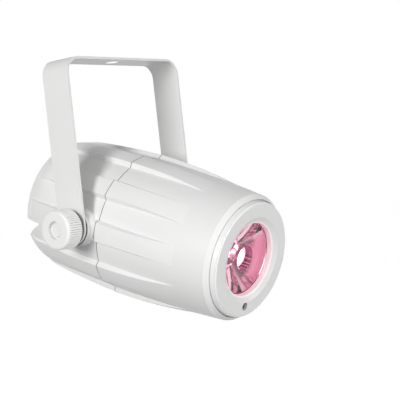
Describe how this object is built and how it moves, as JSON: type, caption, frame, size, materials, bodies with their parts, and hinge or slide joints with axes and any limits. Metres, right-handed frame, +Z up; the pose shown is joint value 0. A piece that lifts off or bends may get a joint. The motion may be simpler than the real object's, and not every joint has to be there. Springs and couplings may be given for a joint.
{
  "type": "led spotlight",
  "caption": "Small white LED spotlight: ribbed round head with a face lens, tilting in a bent yoke and clamped by fluted side knobs, rear recess with sockets, display and menu buttons.",
  "frame": {"origin": "centre of the yoke's hanging hole, on the top face of the bar", "axes": "+Z up along the hanging hole, +X the level direction in which the beam points, +Y to the light's left along the tilt axis; the head is pitched 18 degrees down at rest, as in the picture"},
  "size_m": [0.2199, 0.1784, 0.2234],
  "materials": {
    "bracket_paint": "white powder coat, satin, on bent steel bar",
    "shell_white": "moulded white plastic with a soft sheen",
    "plate_white": "moulded white plastic with a soft sheen",
    "knob_white": "moulded white plastic, slightly duller than the housing",
    "clear_lens": "clear moulded optic, polished",
    "holder_white": "white cup that takes the pink of the light inside",
    "seal_rubber": "soft black ring",
    "board_white": "white solder mask on a metal-core board",
    "led_dome": "clear dome on a white package",
    "sink_aluminium": "plain extruded aluminium",
    "receiver_black": "dark tinted plastic",
    "panel_black": "fine grained black plastic",
    "display_dark": "dark red-black window, polished",
    "circuit_green": "green solder mask",
    "socket_black": "moulded black plastic",
    "screw_steel": "zinc-plated steel",
    "button_grey": "dark grey plastic",
    "insert_brass": "turned brass",
    "washer_rubber": "dark fibre-filled rubber"
  },
  "bodies": {
    "yoke": {"yoke_bracket": "bracket_paint"},
    "head": {"rear_shell": "shell_white", "front_shell": "shell_white", "face_plate": "plate_white", "collimator_lens": "clear_lens", "lens_holder": "holder_white", "lens_seal": "seal_rubber", "led_board": "board_white", "led_emitter": "led_dome", "heat_sink": "sink_aluminium", "infrared_receiver": "receiver_black", "rear_panel": "panel_black", "display_window": "display_dark", "display_module": "panel_black", "control_board": "circuit_green", "button_switches": "receiver_black", "data_input_socket": "socket_black", "data_output_socket": "socket_black", "power_inlet_socket": "socket_black", "fuse_holder": "socket_black", "panel_screws": "screw_steel", "shell_screws": "screw_steel", "power_supply": "circuit_green", "left_thread_insert": "insert_brass", "left_friction_washer": "washer_rubber", "right_thread_insert": "insert_brass", "right_friction_washer": "washer_rubber"},
    "left_washer": {"left_clamp_washer": "screw_steel"},
    "left_knob_turner": {"left_knob": "knob_white", "left_knob_cap": "knob_white", "left_knob_stud": "screw_steel"},
    "right_washer": {"right_clamp_washer": "screw_steel"},
    "right_knob_turner": {"right_knob": "knob_white", "right_knob_cap": "knob_white", "right_knob_stud": "screw_steel"},
    "fuse_cap_turner": {"fuse_cap": "socket_black"},
    "menu_button_plunger": {"menu_button": "button_grey"},
    "down_button_plunger": {"down_button": "button_grey"},
    "up_button_plunger": {"up_button": "button_grey"},
    "enter_button_plunger": {"enter_button": "button_grey"}
  },
  "joints": [
    {"name": "head_tilt", "type": "hinge", "parent": "yoke", "child": "head", "pos_m": [0, 0, -0.137], "axis": [0, 1, 0], "range_deg": [-78, 102]},
    {"name": "left_washer_slide", "type": "slide", "parent": "head", "child": "left_washer", "axis": [0, 1, 0], "range_m": [0, 0.0025]},
    {"name": "left_knob_turn", "type": "hinge", "parent": "left_washer", "child": "left_knob_turner", "pos_m": [0, 0, -0.137], "axis": [0, 1, 0], "range_deg": [0, 720]},
    {"name": "right_washer_slide", "type": "slide", "parent": "head", "child": "right_washer", "axis": [0, -1, 0], "range_m": [0, 0.0025]},
    {"name": "right_knob_turn", "type": "hinge", "parent": "right_washer", "child": "right_knob_turner", "pos_m": [0, 0, -0.137], "axis": [0, -1, 0], "range_deg": [0, 720]},
    {"name": "menu_button_press", "type": "slide", "parent": "head", "child": "menu_button_plunger", "axis": [0.9511, 0, -0.309], "range_m": [0, 0.001], "stiffness_N_per_m": 500, "springref_m": -0.002},
    {"name": "down_button_press", "type": "slide", "parent": "head", "child": "down_button_plunger", "axis": [0.9511, 0, -0.309], "range_m": [0, 0.001], "stiffness_N_per_m": 500, "springref_m": -0.002},
    {"name": "up_button_press", "type": "slide", "parent": "head", "child": "up_button_plunger", "axis": [0.9511, 0, -0.309], "range_m": [0, 0.001], "stiffness_N_per_m": 500, "springref_m": -0.002},
    {"name": "enter_button_press", "type": "slide", "parent": "head", "child": "enter_button_plunger", "axis": [0.9511, 0, -0.309], "range_m": [0, 0.001], "stiffness_N_per_m": 500, "springref_m": -0.002},
    {"name": "fuse_cap_turn", "type": "hinge", "parent": "head", "child": "fuse_cap_turner", "pos_m": [-0.05924, 0.027, -0.14456], "axis": [-0.9511, 0, 0.309], "range_deg": [0, 90]}
  ],
  "couplings": [
    {"joint": "left_washer_slide", "follows": "left_knob_turn", "m_per_rad": 0.00019894},
    {"joint": "right_washer_slide", "follows": "right_knob_turn", "m_per_rad": 0.00019894}
  ]
}
